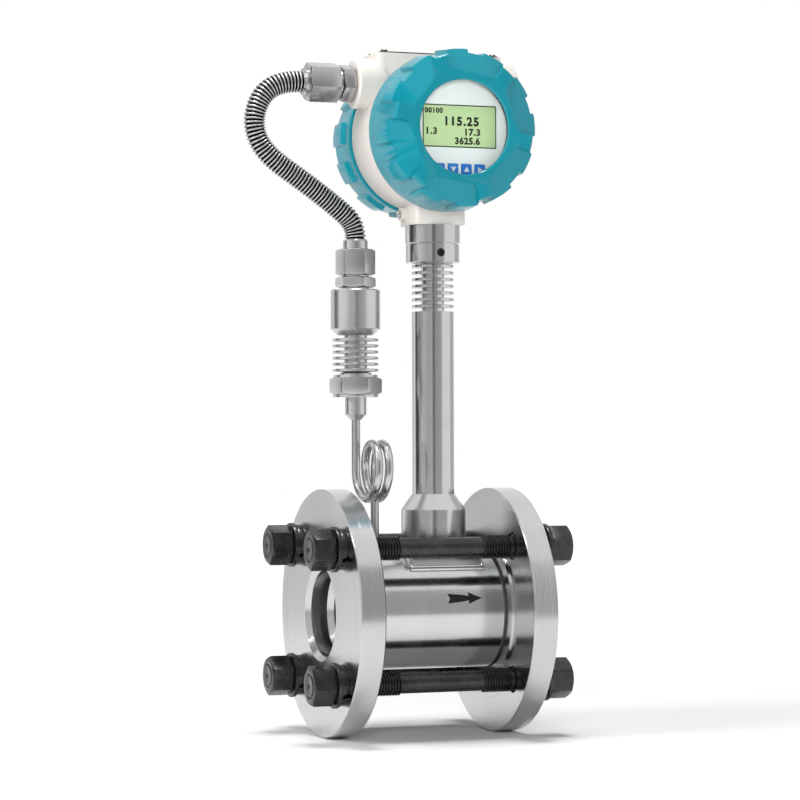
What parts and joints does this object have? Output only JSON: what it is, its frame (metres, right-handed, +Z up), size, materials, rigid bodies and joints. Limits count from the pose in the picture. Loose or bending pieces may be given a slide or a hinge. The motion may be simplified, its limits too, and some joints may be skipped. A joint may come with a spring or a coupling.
{
  "type": "steam flow meter",
  "caption": "Flanged in-line flow meter: a short bolted pipe run, a finned post carrying a round two-cap display head, and a coiled siphon with a pressure sensor and flexible conduit.",
  "frame": {"origin": "centre of the inlet flange's outer face, on the pipe axis", "axes": "+X with the flow from inlet to outlet, +Z up the post to the head, and the display looks along -Y"},
  "size_m": [0.2118, 0.165, 0.4589],
  "materials": {
    "steel": "machined stainless steel",
    "bolting": "blackened steel",
    "gasket": "black sheet gasket",
    "seal": "black rubber",
    "cast": "off-white powder coat",
    "cap": "turquoise gloss paint",
    "glass": "clear toughened glass",
    "dial": "white printed plate",
    "lcd": "green liquid crystal display",
    "key": "blue key",
    "board": "green circuit board",
    "brass": "brass",
    "terminal": "dark terminal block"
  },
  "bodies": {
    "meter": {"inlet_flange": "steel", "outlet_flange": "steel", "meter_body": "steel", "shedder_bar": "steel", "vortex_probe": "steel", "siphon_boss": "steel", "mounting_pad": "steel", "weld_bead": "steel", "post_base": "steel", "post_tube": "steel", "finned_neck": "steel", "siphon_tube": "steel", "siphon_union": "steel", "sensor_hex_base": "steel", "sensor_capsule": "steel", "sensor_cooling_fins": "steel", "sensor_case": "steel", "lock_nut": "steel", "lower_conduit_nut": "steel", "lower_ferrule": "steel", "flexible_conduit": "steel", "studs": "bolting", "inlet_nuts": "bolting", "outlet_nuts": "bolting", "inlet_flat_washers": "bolting", "outlet_flat_washers": "bolting", "inlet_spring_washers": "bolting", "outlet_spring_washers": "bolting", "inlet_gasket": "gasket", "outlet_gasket": "gasket", "sensor_board": "board"},
    "head": {"clamp_collar": "steel", "set_screw": "bolting", "swivel_collar": "steel", "upper_ferrule": "steel", "upper_conduit_nut": "steel", "entry_adapter": "steel", "housing": "cast", "top_plate": "steel", "plate_screws": "steel", "ground_screw": "steel", "dial_plate": "dial", "display": "lcd", "display_board": "board", "main_board": "board", "standoffs": "brass", "terminal_block": "terminal"},
    "front_seal_ring": {"front_cap_seal": "seal"},
    "front_lid": {"front_cap": "cap", "front_window": "glass", "window_gasket": "seal", "window_ring": "seal"},
    "rear_seal_ring": {"rear_cap_seal": "seal"},
    "rear_lid": {"rear_cap": "cap"},
    "enter_key_body": {"enter_key": "key"},
    "down_key_body": {"down_key": "key"},
    "up_key_body": {"up_key": "key"},
    "right_key_body": {"right_key": "key"}
  },
  "joints": [
    {"name": "head_swivel", "type": "hinge", "parent": "meter", "child": "head", "pos_m": [0.081, 0, 0.25], "axis": [0, 0, 1], "range_deg": [-25, 25], "deforming": ["flexible_conduit"]},
    {"name": "front_cap_travel", "type": "slide", "parent": "head", "child": "front_seal_ring", "axis": [0, -1, 0], "range_m": [0, 0.01]},
    {"name": "front_cap_turn", "type": "hinge", "parent": "front_seal_ring", "child": "front_lid", "pos_m": [0.081, 0, 0.321], "axis": [0, -1, 0], "range_deg": [0, 1800]},
    {"name": "rear_cap_travel", "type": "slide", "parent": "head", "child": "rear_seal_ring", "axis": [0, 1, 0], "range_m": [0, 0.01]},
    {"name": "rear_cap_turn", "type": "hinge", "parent": "rear_seal_ring", "child": "rear_lid", "pos_m": [0.081, 0, 0.321], "axis": [0, 1, 0], "range_deg": [0, 1800]},
    {"name": "enter_key_press", "type": "slide", "parent": "head", "child": "enter_key_body", "axis": [0, 1, 0], "range_m": [0, 0.0006], "stiffness_N_per_m": 1500},
    {"name": "down_key_press", "type": "slide", "parent": "head", "child": "down_key_body", "axis": [0, 1, 0], "range_m": [0, 0.0006], "stiffness_N_per_m": 1500},
    {"name": "up_key_press", "type": "slide", "parent": "head", "child": "up_key_body", "axis": [0, 1, 0], "range_m": [0, 0.0006], "stiffness_N_per_m": 1500},
    {"name": "right_key_press", "type": "slide", "parent": "head", "child": "right_key_body", "axis": [0, 1, 0], "range_m": [0, 0.0006], "stiffness_N_per_m": 1500}
  ],
  "couplings": [
    {"joint": "front_cap_travel", "follows": "front_cap_turn", "m_per_rad": 0.00031831},
    {"joint": "rear_cap_travel", "follows": "rear_cap_turn", "m_per_rad": 0.00031831}
  ]
}
